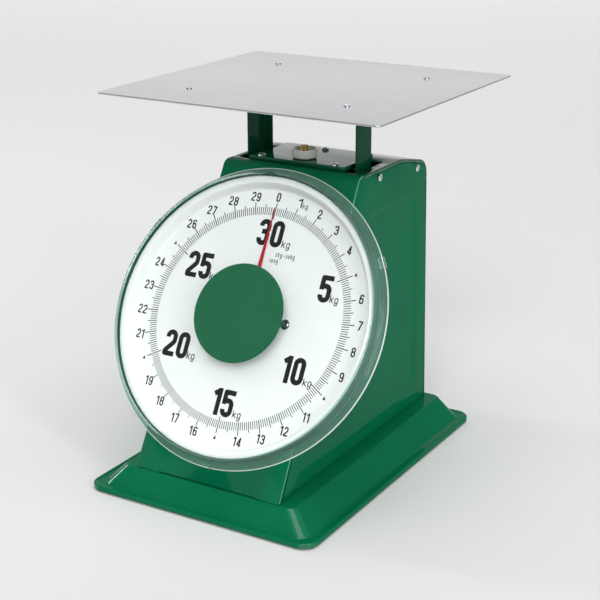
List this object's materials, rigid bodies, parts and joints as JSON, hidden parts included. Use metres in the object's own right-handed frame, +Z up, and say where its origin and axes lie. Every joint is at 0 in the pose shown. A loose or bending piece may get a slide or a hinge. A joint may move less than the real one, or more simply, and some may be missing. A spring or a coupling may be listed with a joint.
{
  "type": "mechanical dial platform scale",
  "caption": "Spring platform scale: steel plate on two uprights over a tapered case, with a large round dial, red pointer and zero knob, on a low base pan.",
  "frame": {"origin": "on the floor, under the middle of the whole scale's bounding box", "axes": "+Z up, +X to the right of someone reading the dial, -Y towards the reader"},
  "size_m": [0.365, 0.427, 0.4546],
  "materials": {
    "green_enamel": "gloss",
    "inner_steel": "satin",
    "stainless_plate": "brushed",
    "bright_steel": "gloss",
    "spring_steel": "satin",
    "brass": "satin",
    "rubber": "matt",
    "dial_white": "gloss",
    "disc_green": "satin",
    "clear_crystal": "clear",
    "pointer_red": "satin",
    "knob_cream": "gloss",
    "nylon": "matt"
  },
  "bodies": {
    "base": {"base_pan": "green_enamel", "rubber_feet": "rubber", "chassis_base": "inner_steel", "chassis_bolts": "bright_steel", "chassis_sides": "inner_steel", "chassis_top": "inner_steel", "lever_shafts": "bright_steel", "shaft_circlips": "inner_steel", "dashpot_cylinder": "bright_steel", "dashpot_cap": "inner_steel", "movement_plate_front": "brass", "movement_plate_rear": "brass", "movement_pillars": "brass", "shaft_bushes": "brass", "rack_guide": "nylon", "case_front": "green_enamel", "case_top": "green_enamel", "case_back": "green_enamel", "side_cover_left": "green_enamel", "side_cover_right": "green_enamel", "side_cover_screws": "bright_steel", "bridge_plate": "green_enamel", "bridge_screws": "bright_steel", "knob_washer": "brass", "dial_housing": "green_enamel", "dial_standoffs": "bright_steel", "dial_plate": "dial_white", "dial_screws": "bright_steel", "centre_disc": "disc_green", "dial_crystal": "clear_crystal", "crystal_clips": "clear_crystal"},
    "platform": {"platform_plate": "stainless_plate", "platform_screws": "bright_steel", "support_arms": "green_enamel", "support_rails": "green_enamel", "upright_left": "green_enamel", "upright_right": "green_enamel", "frame_plate_upper": "inner_steel", "frame_plate_lower": "inner_steel", "lever_brackets": "inner_steel", "lever_pins": "bright_steel", "spring_crossbar": "inner_steel", "spring_plugs_lower": "bright_steel", "rack_drive_arm": "inner_steel", "dashpot_piston": "bright_steel"},
    "pointer_spindle": {"pointer": "pointer_red", "pointer_shaft": "bright_steel", "pinion": "brass"},
    "rack": {"rack": "bright_steel", "rack_pin": "bright_steel"},
    "upper_lever": {"upper_lever_arms": "inner_steel", "upper_lever_tie": "inner_steel"},
    "lower_lever": {"lower_lever_arms": "inner_steel", "lower_lever_tie": "inner_steel"},
    "zero_knob": {"zero_knob": "knob_cream"},
    "spring_hanger": {"zero_rod": "brass", "hanger_bar": "inner_steel", "spring_plugs_upper": "bright_steel", "main_springs": "spring_steel"}
  },
  "joints": [
    {"name": "platform_travel", "type": "slide", "parent": "base", "child": "platform", "axis": [0, 0, -1], "range_m": [0, 0.02289], "stiffness_N_per_m": 13000, "springref_m": -0.006, "deforming": ["main_springs"]},
    {"name": "rack_travel", "type": "slide", "parent": "base", "child": "rack", "axis": [0, -0.4977, -0.8673], "range_m": [0, 0.02639]},
    {"name": "pointer_turn", "type": "hinge", "parent": "base", "child": "pointer_spindle", "pos_m": [0, -0.09085, 0.20304], "axis": [0, 0.8673, -0.4977], "range_deg": [0, 360.01]},
    {"name": "upper_lever_swing", "type": "hinge", "parent": "base", "child": "upper_lever", "pos_m": [0, 0.158, 0.29], "axis": [1, 0, 0], "range_deg": [0, 14.62]},
    {"name": "lower_lever_swing", "type": "hinge", "parent": "base", "child": "lower_lever", "pos_m": [0, 0.158, 0.15], "axis": [1, 0, 0], "range_deg": [0, 14.62]},
    {"name": "zero_knob_turn", "type": "hinge", "parent": "base", "child": "zero_knob", "pos_m": [0, 0.032, 0.372], "axis": [0, 0, 1], "range_deg": [-720, 720]},
    {"name": "zero_rod_travel", "type": "slide", "parent": "base", "child": "spring_hanger", "axis": [0, 0, 1], "range_m": [-0.003, 0.003], "deforming": ["main_springs"]}
  ],
  "couplings": [
    {"joint": "rack_travel", "follows": "platform_travel", "ratio": 1.153},
    {"joint": "pointer_turn", "follows": "platform_travel", "rad_per_m": 274.51},
    {"joint": "upper_lever_swing", "follows": "platform_travel", "rad_per_m": 11.141},
    {"joint": "lower_lever_swing", "follows": "platform_travel", "rad_per_m": 11.141},
    {"joint": "zero_knob_turn", "follows": "zero_rod_travel", "rad_per_m": 4188.8}
  ]
}
